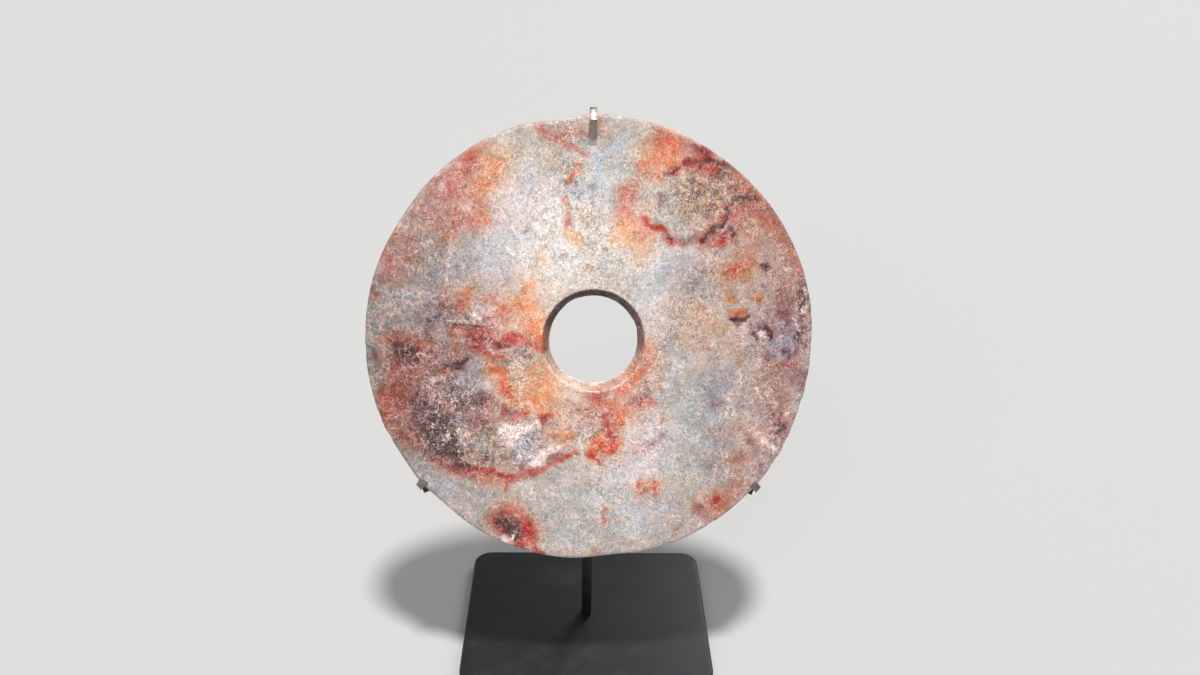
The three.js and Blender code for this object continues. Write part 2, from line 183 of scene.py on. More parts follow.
# Red iron stain, from salmon through brick red to maroon.
RUST = [
    # salmon shoulder at the upper left
    (30, (-50, 82, 5), (-58, 74, 8), (-64, 64, 8), (-62, 54, 7)),
    (30, (-56, 76, 4), (-61, 70, 5), (-67, 63, 4)), (30, (-55, 62, 6), (-50, 55, 5), (-58, 52, 5)),
    (40, (-53, 82, 2), (-52, 77, 3), (-56, 73, 2)), (30, (-48, 54, 2), (-52, 50, 2.4)),
    (25, (-70, 52, 3), (-64, 46, 3), (-75, 58, 3)), (40, (-80, 38, 4), (-77, 36, 2.4)),
    (45, (-91, 39, 2), (-88, 34, 2.4)), (30, (-86, 31, 5), (-93, 28, 3)),
    (30, (-78, 44, 2.4), (-86, 46, 2.4)), (70, (-96.5, 22, 1.6), (-95, 18, 1.5)),
    # blotches left of the hole
    (35, (-65, 21, 3), (-63, 14, 3)), (40, (-57, 19, 3), (-58, 13, 2)),
    (50, (-44, 18.5, 3), (-41, 14, 2.4)), (30, (-47, 8, 4), (-41, 6, 4), (-38, 12, 3)),
    (70, (-63, 4.6, 1.8), (-57, 4, 2)), (80, (-51, 3, 2), (-47, 3, 1.6)),
    (90, (-51, 0, 1), (-45, -0.5, 1.2), (-40, -1.4, 1)), (80, (-38, 0.6, 1.3), (-32, 1, 1.4)),
    (65, (-40, -2, 1.4), (-30, -0.6, 1.4), (-21, -3, 1.4)),
    (75, (-50, -3.6, 2), (-46, -6, 2), (-40, -6, 1.6)), (25, (-55, -5, 4), (-62, -5, 4)),
    (75, (-67, -13.5, 2.2), (-58, -11, 2.2)), (15, (-26, 18, 6), (-26, 6, 5)),
    (45, (-50, 2, 3), (-44, -1, 3)),
    # the vein under the top clip
    (50, (-24, 94, 1.4), (-18, 91, 1.8), (-12, 87, 1.3), (-7, 84, 1.1), (-3, 81, 1)),
    (35, (-13, 94, 1.2), (-9, 91, 1), (-3, 90.5, 0.7)), (15, (-18, 89, 4), (-12, 92, 4), (-5, 92, 3)),
    (55, (-6.5, 74, 0.8), (-10, 69, 0.9)), (55, (-11.5, 62, 0.9)), (30, (-9.5, 58, 0.6), (-10.5, 51, 0.4)),
    (30, (-10, 65, 0.6), (-10, 50, 0.6)), (25, (4, 95, 2), (6, 91, 2)),
    # upper right flush and loop
    (45, (33, 88, 4), (41, 86, 4), (49, 83, 3)), (35, (30, 91, 3), (28, 80, 4), (24, 79, 3)),
    (80, (29.5, 73, 1.2), (32, 71.5, 0.8)), (40, (26, 74, 1.4), (22, 76, 2)),
    (65, (36, 76, 1), (42, 77.5, 1.6), (49, 77, 1.8), (55, 77, 2)), (30, (46, 74, 3), (55, 73, 3)),
    (50, (34, 76, 1), (42, 79, 1.3), (50, 80, 1.4), (59, 80, 1.4)),
    (60, (71, 64, 2), (66, 63.5, 1.6), (61, 60, 1.6), (58, 54, 1.8), (52, 49.5, 2), (47, 44, 1.6)),
    (55, (63, 73, 3), (68, 69, 3), (62, 68, 2)), (45, (20, 69, 2), (15, 66, 3), (14, 61, 2.6), (17, 57, 2)),
    (30, (18, 63, 4), (22, 50, 4), (14, 56, 3)), (80, (24.5, 54.5, 1), (26, 53, 1.2), (29, 51.6, 0.8)),
    (65, (30, 51, 0.8), (33, 49, 0.9), (36, 46, 0.9)), (60, (37, 44, 1.4), (39, 42.5, 1)),
    (20, (26, 47, 3), (22, 45, 3)), (70, (50, 84, 3)), (45, (66, 57, 4), (72, 58, 3)),
    (65, (62, 54, 1.6), (66, 51, 1.6)), (95, (57.5, 47.5, 2), (56, 45.5, 1.6)),
    (50, (62, 46, 1.6), (50, 44, 2)),
    # down the right side
    (40, (72, 65, 4), (80, 56, 4), (87, 44, 4), (92, 33, 3)), (25, (74, 50, 5), (70, 42, 5)),
    (25, (62, 31, 2), (70, 36, 2)), (35, (85, 27, 3), (83, 31, 2)), (25, (86, 14, 4), (84, 7, 3)),
    (30, (95, 22, 3), (96, 8, 3)), (50, (54, -2, 1.3)), (35, (80, -5, 2.4), (80, -9, 2)),
    (65, (85, -10, 1.5), (93, -10, 1.6)), (70, (93, -4, 1.6)), (25, (84, -24, 5), (85, -34, 4)),
    (45, (86, -35, 2)), (30, (72, -51, 2.4), (66, -53, 2)), (30, (58, -41, 2)), (30, (76, -42, 3)),
    # lower right rim and two spots
    (70, (56, -73, 2), (58, -71, 1.4)), (35, (62, -74, 4), (55, -79, 3), (68, -66, 4)),
    (35, (50, -76, 1.6), (47, -73, 1.4)), (55, (22.5, -66, 1.3), (23, -63.5, 0.8)),
    (65, (29, -66, 1.8), (30.5, -69, 1)), (50, (8, -76, 0.6), (7.6, -80, 0.8), (8, -83, 0.5)),
    (35, (3, -96, 1.4)),
    # round the lower right of the hole
    (30, (24, -5, 4), (22, -12, 4)), (45, (19, -17, 2), (14, -22, 3)), (60, (27, -27, 2), (23, -27, 1.4)),
    (30, (20, -28, 3), (12, -29, 3)), (65, (2, -25, 2.6), (5, -27, 2.4)), (35, (-4, -31, 3), (0, -35, 2.4)),
    (35, (4, -25, 5)), (30, (8, -32, 4), (9, -42, 4)), (65, (6, -34, 1.6), (8, -37, 2)),
    (95, (10.6, -41, 1.1), (11.6, -45, 1.3), (10.5, -49, 1.3)), (40, (4, -47, 2.4), (7, -49, 2)),
    (95, (0.5, -51.5, 1), (3, -53, 1.2), (5, -54, 0.7)), (30, (20, -47.5, 0.4), (27, -48, 0.4)),
    (30, (20, -50.2, 0.4), (27, -50.6, 0.4)),
    # the spot on the left, its halo and the run down the rim
    (90, (-81, -5, 6.5)), (50, (-81, -8, 10)),
    (60, (-84, -15, 7), (-85, -26, 7), (-84, -36, 7), (-80, -43, 5)), (35, (-91, -22, 4), (-91, -34, 3)),
    (30, (-76, -20, 4), (-76, -14, 4)),
    # the boundary of the dark area
    (60, (-80, -45, 1.6), (-76, -48, 1.4), (-70, -52, 1.6)),
    (85, (-70, -52, 1.3), (-65, -56, 1.5), (-60, -58, 1.4), (-54, -59, 1.5)),
    (95, (-54, -59, 1.5), (-48, -58.5, 1.7), (-43, -59, 1.5), (-39, -61.5, 0.9)),
    (70, (-39, -61.5, 1), (-34, -62, 1.2), (-29, -60.5, 1), (-25, -59, 1.3)),
    (75, (-25, -59, 1.3), (-20, -57.5, 1.2), (-16, -55, 1.2), (-11, -53, 1.2), (-6, -51, 0.9)),
    (65, (-35, -63, 1.5), (-37, -66.5, 0.9), (-38, -69, 0.5)), (35, (-45, -62, 2), (-54, -61, 1.6)),
    (40, (-29, -57, 1.8), (-22, -56, 1.4)),
    # flecks inside the dark area
    (30, (-67, -34, 4), (-62, -28, 4)), (45, (-57, -43, 2.4), (-52, -41, 2)),
    (50, (-45, -32, 2), (-42, -30, 1.6)), (35, (-46, -37, 3), (-70, -26, 2.4)),
    (75, (-37, -31.5, 1.6), (-38.5, -34.5, 0.9)), (65, (-33, -33, 1.6), (-29, -32, 1.4)),
    (35, (-36, -25, 1.4), (-39, -20, 1.4)), (70, (-21, -34.5, 1.2), (-16, -34, 1)),
    # the spot at the bottom
    (55, (-43, -82, 2), (-38, -79, 2.6), (-31, -80, 3), (-27, -85, 3)), (75, (-37, -83, 3), (-32, -85, 3)),
    (60, (-26, -88, 2.6), (-25, -92, 2), (-29, -92, 2)), (80, (-23, -95.5, 1.2), (-20, -98, 0.9)),
    (50, (-41, -86, 1.6), (-32, -89, 2)), (80, (-29, -89, 4)), (60, (-31, -86, 3), (-30, -93, 3)),
    (80, (-36, -83, 4)),
]

# Manganese stain, from mauve to nearly black.
INK = [
    # the loop at the upper right
    (75, (32.5, 74.5, 0.3), (38, 76.8, 0.3), (42, 79.3, 0.4), (48, 79, 0.4)),
    (80, (48, 79, 0.5), (52, 80.3, 0.7), (56, 79.8, 0.8), (60, 80, 0.8)), (45, (44, 87, 2), (50, 84, 1.6)),
    (50, (58, 76, 1.8), (56, 73, 1.4)), (40, (61, 78, 1.4), (64, 76, 1)),
    (80, (71, 64.5, 0.9), (67, 63.5, 0.6), (63, 62, 0.5), (60.5, 59, 0.5)),
    (75, (60.5, 59, 0.5), (60, 55, 0.5), (57, 52, 0.4), (53, 49.5, 0.6)),
    (65, (53, 49.5, 0.6), (50, 47, 0.7), (47.5, 43.5, 0.6)), (60, (61, 50, 0.6), (63.5, 48, 0.7)),
    (45, (30, 51, 0.6), (34, 49, 0.8), (37, 45.5, 0.8)), (30, (44, 46, 2), (41, 43, 1.4), (33, 46, 1.4)),
    (45, (30.5, 65, 1.3), (29.5, 61, 1)), (30, (52, 55, 2)), (30, (50, 68, 2), (57, 66, 2)),
    # spots at the right and along the rim
    (95, (77.4, 34, 1.6)), (50, (81, 33.5, 0.6), (75, 34, 0.5), (78, 31.5, 0.5)),
    (50, (76, 26, 0.8), (77.5, 25, 0.6)), (100, (63.5, 11.5, 0.35), (66.5, 11, 0.8), (70, 11.4, 0.35)),
    (50, (66.5, 9.2, 0.9)), (80, (72, 8, 0.8), (73, 5, 0.8), (74, 2.6, 0.6)),
    (85, (78.5, 7.6, 0.8), (80.5, 5, 0.9), (81, 3, 0.7)),
    (50, (77.5, 2, 0.6), (75.5, 8, 0.7), (77, 6, 0.5)), (30, (85, 22, 2.4), (87, 14, 2.4), (88, 6, 2)),
    (65, (94, 26, 1.6), (93.5, 18, 1.8), (95, 12, 1.4), (94, 5, 1.8)), (60, (92, 2, 1.4), (96, -0.5, 1)),
    (55, (87, -4, 1.8), (88.5, -6, 1)), (30, (90, -16, 2), (96, -14, 1.4), (94, -20, 1)),
    (60, (84, -37.5, 1.2), (88, -37, 1.4), (86, -40, 1)), (30, (84, -42, 2)),
    # lower right
    (25, (77, -57, 2)), (30, (72, -44, 1)), (25, (57, -28, 2)), (25, (57, -56, 2)),
    (40, (26, -66, 0.7), (25, -68, 0.6)), (40, (50, -75, 0.9)), (40, (24, -23, 2), (21, -26, 1.4)),
    (30, (29, -46, 1)), (30, (33, -43, 1.2)), (30, (40, -86, 1.4)),
    # the spot on the left
    (75, (-84, -4, 2.2), (-80, -5, 1.8)), (20, (-82, -6, 5)),
    (50, (-87, -6, 1.4), (-77, -5, 1.2), (-76, -8, 1)), (40, (-84, -10, 1.6), (-79, -10, 1.6)),
    # left of the hole
    (60, (-71, 7, 1.4), (-72, 1, 1.6)), (35, (-67, 10, 2), (-65, 15, 1.4), (-73, 13, 1.6)),
    (30, (-66, -3, 2.4), (-71, -6, 2)), (75, (-64, -11, 1), (-57.5, -12, 1), (-55, -9, 0.6)),
    (75, (-62, 6, 0.35), (-56, 5.8, 0.3), (-49, 5.4, 0.25)), (40, (-50, -0.5, 0.7), (-44, -1, 0.8)),
    (60, (-41, -2, 0.8), (-35, -3.4, 0.8)), (25, (-46, 7, 2.4), (-55, -6, 3), (-49, 9.6, 1)),
    # the dark area
    (85, (-77, -32, 1.8), (-77, -36, 1.8), (-74, -40, 2.2)),
    (85, (-74, -41, 2.6), (-69, -44, 3.4), (-66, -48, 2.8)),
    (65, (-72, -30, 3), (-66, -38, 4), (-60, -48, 4)), (60, (-70, -44, 5), (-58, -52, 3)),
    (70, (-68, -49, 1.6), (-63, -52, 1.6), (-59, -53.5, 1.2)),
    (70, (-60, -57, 1), (-56, -57, 1.2), (-53, -58, 0.8)),
    (50, (-79, -27, 1.2), (-76, -24, 1.2), (-73, -28, 1)),
    (40, (-70, -35, 2), (-64, -37, 2), (-60, -42, 1.4)),
    (45, (-66, -20, 2), (-60, -22, 2.6), (-62, -17, 1.6)),
    (70, (-57, -28, 1), (-52, -28, 2), (-48, -29, 2)), (40, (-46, -26, 2.4), (-52, -25, 1.6)),
    (35, (-56, -34, 2), (-47, -38, 2), (-44, -42, 1.6)),
    (45, (-40, -48, 1), (-44, -52, 1.2), (-48, -55, 1)), (35, (-38, -52, 1.6), (-34, -50, 1)),
    (90, (-34.5, -37.2, 0.25), (-30, -37.3, 0.25)),
    (45, (-28, -43, 0.6), (-24, -41.5, 0.7), (-25, -45, 0.5)), (35, (-30, -56, 2), (-27, -54, 1.2)),
    (50, (-20, -35.5, 1.2), (-17, -35, 0.8)), (50, (-17, -52.5, 1), (-12, -51.5, 0.8)),
    (35, (-30, -5, 1), (-34, -8, 1), (-27, -6, 0.8)),
    # the spot at the bottom
    (85, (-39, -83, 2), (-36, -84, 2.4)), (70, (-34, -83.5, 2), (-32, -88, 1.4), (-36, -87, 1.4)),
    # small flecks at the left rim and above the hole
    (30, (-97, -3, 1.6), (-96, -9, 1.2)), (45, (-28, 48.5, 0.6)), (40, (-19, 42, 0.5)),
]

# Chalky altered stone, white with a blush.
CHALK = [
    # the dark area and the white patch beside it
    (95, (-38, -40, 2), (-34, -39.5, 2.4), (-28, -39, 2.4), (-23, -38, 1.4)),
    (80, (-37, -43, 1.6), (-34, -44.5, 1.6), (-32, -42, 1.4)),
    (50, (-22, -53, 1.6), (-18, -49.5, 2), (-13, -49, 1.4)), (50, (-26, -55.5, 1), (-20, -54.5, 1)),
    (50, (-41, -31, 1.4), (-38, -36.5, 1.2)), (50, (-31.5, -21, 0.8), (-31, -26, 1)),
    (50, (-58, -41, 1.4), (-54, -44.5, 2), (-58, -46, 1.4), (-55, -49, 1)), (80, (-64, -43, 0.9)),
    (80, (-59, -19.5, 0.6)), (60, (-70, -18, 1.4), (-66, -17, 1.4)), (40, (-65, -31, 1), (-58, -33, 1)),
    (45, (-35, -12, 1.4), (-30, -12, 1)),
    # left of the hole
    (40, (-44, -4.5, 1.6), (-32, -7, 1)), (50, (-51, 11, 1.4), (-49, 9, 1.6), (-47, 13, 1)),
    (40, (-52, 15, 1.4)), (35, (-37, 6, 2), (-32, 5, 1.6)),
    # upper left
    (40, (-62, 48, 0.7), (-62, 40, 0.6), (-63, 30, 0.6), (-64, 24, 0.6)), (35, (-66, 68, 2)),
    (35, (-55, 56, 2), (-51, 60, 1.4)), (30, (-72, 66, 1.6)), (30, (-62, 60, 1.4)), (30, (-44, 62, 1)),
    # under the hole
    (50, (10, -25.5, 1.8)), (50, (-3, -40, 0.8), (-3, -47, 1), (-2.5, -53, 0.8)),
    (40, (-10, -24, 0.8), (-5, -26, 0.8), (-3, -29, 0.8)),
    # right side and its rim
    (85, (76, 5.4, 1), (77.6, 4.2, 0.8)), (75, (95, 14, 0.8), (96.2, 16, 0.7)), (70, (96, 10.5, 0.7)),
    (60, (92.5, 7.8, 0.6)), (65, (95, 23.5, 0.6)), (50, (94, 19.5, 0.5)), (60, (89, -32, 0.9)),
    (50, (92, -26, 0.7)), (60, (83.5, -48, 1.2), (81, -45, 1.6)), (35, (78, -43, 2), (73, -39.5, 2)),
    # the bottom and left spots
    (65, (-38, -89.5, 1.6), (-35, -92, 1.4), (-33.5, -87.5, 0.5)), (35, (-79, -11, 1), (-85, -14, 1)),
    # upper right
    (60, (60, 51.5, 0.8), (57, 49.5, 0.5)), (50, (60, 77, 0.8), (57, 74.5, 0.6)),
    (40, (34, 63, 1.4), (36, 68, 1), (33, 72, 0.8)), (30, (14, 90, 1)), (30, (6, 84, 1)),
]

# Where the stone is coarse and granular, so that every stain breaks up there.
COARSE = [
    (90, (-62, -30, 10), (-67, -40, 9), (-56, -46, 8), (-44, -46, 6)),
    (60, (-80, -8, 6), (-70, -14, 6), (-52, -27, 6)),
    (60, (-62, 12, 7), (-54, 6, 6), (-44, 0, 5), (-50, 14, 4)), (75, (50, 62, 9), (42, 66, 6), (60, 72, 6)),
    (80, (95, 20, 4), (95, 6, 5)), (60, (76, 6, 4), (84, -38, 4), (82, -46, 4)),
    (50, (4, -30, 6), (8, -44, 6), (-6, -34, 5)), (40, (-36, -84, 5), (-28, -88, 5)),
    (30, (-58, 70, 12), (-62, 54, 8), (-80, 38, 7)), (60, (-30, -7, 5), (-36, -32, 4), (-26, -47, 5)),
    (45, (-38, -54, 5), (-15, -40, 5)), (35, (22, -24, 5), (70, 62, 6), (34, 62, 5)),
    (30, (-14, 92, 6), (30, -44, 5)),
]

# Chips on the rim: degrees from the right-hand side, half width in degrees, depth in mm.
RIM_CHIPS = [
    (178, 0.8, 0.7), (182.5, 1.1, 0.9), (200, 0.9, 0.5), (206, 1.2, 0.5), (286, 1.4, 0.5), (291, 0.9, 0.6),
    (304, 1.2, 0.4), (327, 1.6, 0.7), (333, 1.2, 0.5), (344, 1.0, 0.6), (350, 1.4, 0.7), (8, 1.2, 0.6),
    (14, 0.9, 0.5), (48, 1.1, 0.4), (128, 1.2, 0.4),
]

# Chips on the edge where the two drillings of the hole meet, in the same terms.
WAIST_CHIPS = [
    (200, 12, 0.35), (216, 8, 0.5), (232, 7, 0.4), (262, 5, 0.5), (291, 6, 0.7), (20, 9, 0.3),
    (120, 10, 0.3),
]


# ---- Settings a user would change ----


def length_setting(name, description, millimetres):
    """A length, which the panel shows in the scene's units."""
    default = millimetres * MM
    return FloatProperty(
        name=name, description=description, unit="LENGTH", precision=5, default=default
    )


def angle_setting(name, description, degrees):
    """An angle, which the panel shows in degrees."""
    default = math.radians(degrees)
    return FloatProperty(name=name, description=description, subtype="ANGLE", default=default)


def colour_setting(name, description, hex_colour):
    """A colour, which the panel shows as a swatch."""
    return FloatVectorProperty(
        name=name,
        description=description,
        subtype="COLOR",
        size=3,
        min=0.0,
        max=1.0,
        default=to_linear(hex_colour),
    )


class DiscSettings(bpy.types.PropertyGroup):
    """Sizes of the disc's own mesh and relief."""

    around: IntProperty(name="Steps around", description="Columns of the disc's mesh", default=640)
    across: IntProperty(name="Steps across", description="Rings on the front face", default=96)
    rim_arris: length_setting("Rim arris", "Radius of the rim's worn edges", 1.7)
    rim_swell: length_setting("Rim swell", "How far the rim's middle stands out", 0.5)
    unevenness: length_setting("Unevenness", "Height of the face's slow waves", 0.14)
    pitting: length_setting("Pitting", "Depth of the pits along dark veins", 0.28)


class JadeColours(bpy.types.PropertyGroup):
    """The stone's tones, under its stains, with painted light and shade in some of them."""

    ground: colour_setting("Ground", "Where no other tone lies", "#cdbfba")
    # Cream is partly a painted pool of light above the hole.
    cream: colour_setting("Cream", "Warm pale stone above the hole", "#fff6ec")
    rose_white: colour_setting("Rose white", "Pale stone with a blush", "#f6dfda")
    peach: colour_setting("Peach", "Warm stone round the hole", "#f8cdac")
    # Ash, clay and umber towards the rims are partly painted shade where the light falls off.
    ash: colour_setting("Ash", "Darker stone towards the rim", "#9a8f8c")
    clay: colour_setting("Clay", "Pinkish brown stone at the right", "#a58680")
    umber: colour_setting("Umber", "Brown stone under the heaviest stains", "#7f6a62")
    pale_grey: colour_setting("Pale grey", "Lower part of the disc", "#aaa7a3")
    # Grey at the left rim is partly painted shade.
    grey: colour_setting("Grey", "The left rim", "#717878")
    blue_grey: colour_setting("Blue grey", "Cloudy area at the right", "#7f8b9c")
    grey_green: colour_setting("Grey green", "Faint green clouds", "#bcb8a6")
    pale_blue: colour_setting("Pale blue", "Bluish clouds", "#c3cdd6")
    tan: colour_setting("Tan", "Brownish clouds at the right", "#cfae98")
    rose_brown: colour_setting("Rose brown", "The right rim", "#a8857c")
    mauve_grey: colour_setting("Mauve grey", "Faint violet clouds", "#757f99")
    olive: colour_setting("Olive", "Inside the upper right loop", "#ae9b72")
    slate: colour_setting("Slate", "The dark granular area", "#625d5c")
    # The hole wall's colour is painted shade, laid on the wall darkest at the top.
    wall: colour_setting("Hole wall", "Stained wall of the hole", "#3a2a22")


class StandColours(bpy.types.PropertyGroup):
    """The stand's finishes."""

    enamel: colour_setting("Enamel", "Black on the cradle, stem and foot", "#16161a")
    strip: colour_setting("Strip", "Metal of the clips", "#b9aea6")
    # This colour also paints a dark reflection on the clips' front faces.
    tarnish_and_dark_reflection: colour_setting("Tarnish", "Where the clips are toned and dulled", "#463a35")


class StageSettings(bpy.types.PropertyGroup):
    """The camera's place and the floor."""

    elevation: angle_setting("Elevation", "Camera above the horizon", 25.35)
    heading: angle_setting("Heading", "Camera turned to the right", 1.22)
    roll: angle_setting("Roll", "Camera turned about its own axis", 1.03)
    offset: FloatVectorProperty(
        name="Camera place",
        description="Camera from the middle of the disc",
        subtype="TRANSLATION",
        unit="LENGTH",
        size=3,
        default=(-0.005, -0.4453, 0.2123),
    )
    lens: FloatProperty(
        name="Lens", description="Focal length on a 36 mm sensor", unit="CAMERA", default=32.9
    )
    floor: colour_setting("Floor", "Matt paper under the object", "#b9b8b6")


# ---- The disc's place, read from its solid ----


class Seat:
    """The plane of the disc: its middle, its axes and the outline of its solid, in mm."""

    # The hole's middle lies this far right of and above the outline's, and the points nearer
    # the middle than the reach are on the hole.
    HOLE_FROM_MIDDLE = (1.5, 0.35)
    HOLE_REACH = 40.0

    def __init__(self, node):
        mesh = node.data
        points = np.empty(len(mesh.vertices) * 3)
        mesh.vertices.foreach_get("co", points)
        points = points.reshape(-1, 3) / MM
        normals = np.empty(len(mesh.polygons) * 3)
        areas = np.empty(len(mesh.polygons))
        mesh.polygons.foreach_get("normal", normals)
        mesh.polygons.foreach_get("area", areas)
        normals = normals.reshape(-1, 3)
        # The disc faces the way its front does: the triangles within about 30 degrees of -Y that
        # are among the largest quarter.
        facing = (normals[:, 1] < -0.85) & (areas > np.percentile(areas, 75))
        forward = (normals[facing] * areas[facing, None]).sum(axis=0)
        self.forward = forward / np.linalg.norm(forward)
        self.right = np.array((1.0, 0.0, 0.0))
        self.up = np.cross(self.forward, self.right)
        axes = np.stack((self.right, self.up, self.forward))
        flat = points @ axes.T
        centre = (flat.min(axis=0) + flat.max(axis=0)) / 2
        bore = np.hypot(*(flat - centre)[:, :2].T) < self.HOLE_REACH
        hole = np.append(flat[bore, :2].mean(axis=0), centre[2])
        centre = hole - np.append(self.HOLE_FROM_MIDDLE, 0.0)
        flat -= centre
        self.middle = centre @ axes
        self.half = flat[:, 2].max()
        # The outline is the loop of points within 0.1 mm of half way through the thickness.
        rim = (np.abs(flat[:, 2]) < 0.1) & ~bore
        angle, first = np.unique(np.arctan2(flat[rim, 1], flat[rim, 0]).round(4), return_index=True)
        self.rim_angle = angle
        self.rim_radius = np.hypot(flat[rim, 0], flat[rim, 1])[first]
        from_hole = np.hypot(*(flat[bore, :2] - self.HOLE_FROM_MIDDLE).T)
        self.waist = from_hole.min()
        self.mouth = from_hole.max()

    def outline(self, angle):
        """Radius of the rim at angles in radians."""
        return np.interp(angle, self.rim_angle, self.rim_radius, period=2 * math.pi)

    def to_row(self, x, y, height):
        """Points of the disc's frame in the row frame, in metres."""
        spread = (np.multiply.outer(a, b) for a, b in ((x, self.right), (y, self.up)))
        return (sum(spread) + np.multiply.outer(height, self.forward) + self.middle) * MM


# ---- Fields of the stone ----

# How steeply a mark fades past its radius, and how much is cut off the faint end of its halo.
FADE = 3.2
HALO_CUT = 0.03
# The optical depth that no stain goes beyond.
DEEPEST = 3.2
# How far stains wander on the back in times of the front, how much softer their edges are there
# in mm, and how much of their depth is gone.
BACK_WANDER, BACK_SOFTNESS, BACK_LOSS = 5.0, 2.0, 0.6


def lattice_noise(x, y, cell, seed):
    """Smooth noise from 0 to 1 with features about one cell wide, in mm."""
    table = np.random.default_rng(seed).random((256, 256))
    u, v = x / cell + 128, y / cell + 128
    i, j = np.floor(u).astype(int), np.floor(v).astype(int)
    s, t = u - i, v - j
    s, t = s * s * (3 - 2 * s), t * t * (3 - 2 * t)
    i, j, i1, j1 = i % 256, j % 256, (i + 1) % 256, (j + 1) % 256
    low = table[i, j] * (1 - s) + table[i1, j] * s
    high = table[i, j1] * (1 - s) + table[i1, j1] * s
    return low * (1 - t) + high * t


def rough_noise(x, y, cell, seed):
    """Three octaves of the smooth noise, stretched to run from about -1 to 1."""
    # Each is its cell, as a share of the whole one, and its weight.
    octaves = ((1.0, 1.0), (0.5, 0.5), (0.25, 0.27))
    total = sum(w * lattice_noise(x, y, cell * c, seed + n) for n, (c, w) in enumerate(octaves))
    return (total / sum(w for _, w in octaves) - 0.5) * 2.6


def mark_density(x, y, places, edge):
    """1 at the middle of a spot or streak, a half at its radius widened by an edge in mm, and
    a faint halo beyond."""
    ends = places if len(places) > 1 else (places[0], places[0])
    density = np.zeros(np.shape(x))
    for (ax, ay, ar), (bx, by, br) in zip(ends, ends[1:]):
        length = (bx - ax) ** 2 + (by - ay) ** 2
        share = ((x - ax) * (bx - ax) + (y - ay) * (by - ay)) / max(length, 1e-9)
        share = np.clip(share, 0.0, 1.0)
        away = np.hypot(x - ax - share * (bx - ax), y - ay - share * (by - ay))
        radius = ar + share * (br - ar)
        density = np.maximum(density, 1 / (1 + (away / (radius + edge)) ** FADE))
    return np.clip((1 + HALO_CUT) * density - HALO_CUT, 0.0, 1.0)


def clearness(x, y, marks, edge):
    """Share of light that gets past a list of marks, where overlapping ones deepen each other."""
    clear = np.ones(np.shape(x))
    for strength, *places in marks:
        clear *= 1 - strength / 100 * mark_density(x, y, places, edge)
    return clear


def stain_depth(x, y, marks, edge, seed):
    """Optical depth of one stain, broken up by its own blotches of 6 mm and 2.4 mm."""
    depth = -np.log(np.maximum(clearness(x, y, marks, edge), 0.03))
    blotches = 0.55 * rough_noise(x, y, 6.0, seed) + 0.75 * rough_noise(x, y, 2.4, seed + 5)
    return np.minimum(depth * np.exp(0.6 * blotches), DEEPEST)


def stone_tone(x, y, colours):
    """Soft tone of the stone, in linear RGB, partly painted light and shade, where later tones lie over
    earlier ones.
    """
    tone = np.empty((*np.shape(x), 3))
    tone[...] = colours.ground
    for name, strength, *places in TONES:
        cover = (strength / 100 * mark_density(x, y, places, 0.8))[..., None]
        tone = tone * (1 - cover) + np.array(getattr(colours, name)) * cover
    return tone


def stone_fields(x, y, through, colours):
    """Every field of the stone at points of the disc's plane. through is 0 on the front and 1
    on the back, where the stains that go through the stone have wandered, softened and thinned."""
    wander, keep = 1 + (BACK_WANDER - 1) * through, 1 - BACK_LOSS * through
    # Edges waver in waves of a width and a reach in mm.
    waves = tuple(enumerate(((9.0, 1.2), (3.4, 1.1), (1.8, 0.5))))
    shift_x = sum(far * rough_noise(x, y, cell, 11 + n) for n, (cell, far) in waves)
    shift_y = sum(far * rough_noise(x, y, cell, 21 + n) for n, (cell, far) in waves)
    x, y = x + shift_x * wander, y + shift_y * wander
    stains = {"ochre": (OCHRE, 0.5), "rust": (RUST, 0.4), "ink": (INK, 0.2), "chalk": (CHALK, 0.3)}
    softer = BACK_SOFTNESS * through
    fields = {
        name: stain_depth(x, y, marks, edge + softer, 100 + 20 * n) * keep
        for n, (name, (marks, edge)) in enumerate(stains.items())
    }
    fields["coarse"] = (1 - clearness(x, y, COARSE, 0.8)) * keep
    return stone_tone(x, y, colours), fields


# ---- The disc's mesh ----

# Shares of a chip's depth and of the front's rings that the back has.
BACK_WEAR, BACK_RINGS = 0.5, 0.2
# How far the back's relief is moved from the front's, in mm, so that the two differ.
BACK_SHIFT = 40
# Height of the finer waves and depth of the pits in coarse stone, in mm.
RIPPLES, GRAIN_PITS = 0.05, 0.12


def arris_arc(start, half, radius, steps):
    """(outward, height) along a rounded edge, from a face at half the thickness down to a wall."""
    turns = (math.pi / 2 * i / steps for i in range(steps + 1))
    return [
        (start + radius * (1 - math.sin(t)), half - radius * (1 - math.cos(t))) for t in turns
    ]


def rim_section(seat, settings):
    """(inset from the rim, height) from the front face round to the back one."""
    arris, swell = settings.rim_arris / MM, settings.rim_swell / MM
    front = arris_arc(swell, seat.half, arris, 5)
    flank = seat.half - arris
    side = [(swell * abs(s) ** 1.4, -flank * s) for s in np.linspace(-0.7, 0.7, 5)]
    return front + side + [(inset, -height) for inset, height in reversed(front)]


def bore_section(seat):
    """(radius, height) of the hole's wall from the back face to the front one. From each mouth
    a cone narrows to the blunt ridge where the two drillings meet."""
    arris, ridge = 0.7, 0.5
    mouth, top = seat.mouth - arris, seat.half - arris
    cone = [
        (mouth + (seat.waist - mouth) * s, top - (top - ridge) * s) for s in np.linspace(0, 1, 6)
    ]
    wall = arris_arc(mouth, seat.half, arris, 3)[:-1] + cone + [(seat.waist - 0.1, ridge * 0.4)]
    return [(radius, -height) for radius, height in wall] + wall[::-1]


def chip_depth(angle, chips):
    """Depth of the chips at angles in radians. Each has a flat floor and steep ends."""
    depth = np.zeros(np.shape(angle))
    for at, half, deep in chips:
        away = (np.degrees(angle) - at + 180) % 360 - 180
        depth = np.maximum(depth, deep * np.clip(1.4 - (away / half) ** 2, 0, 1))
    return depth


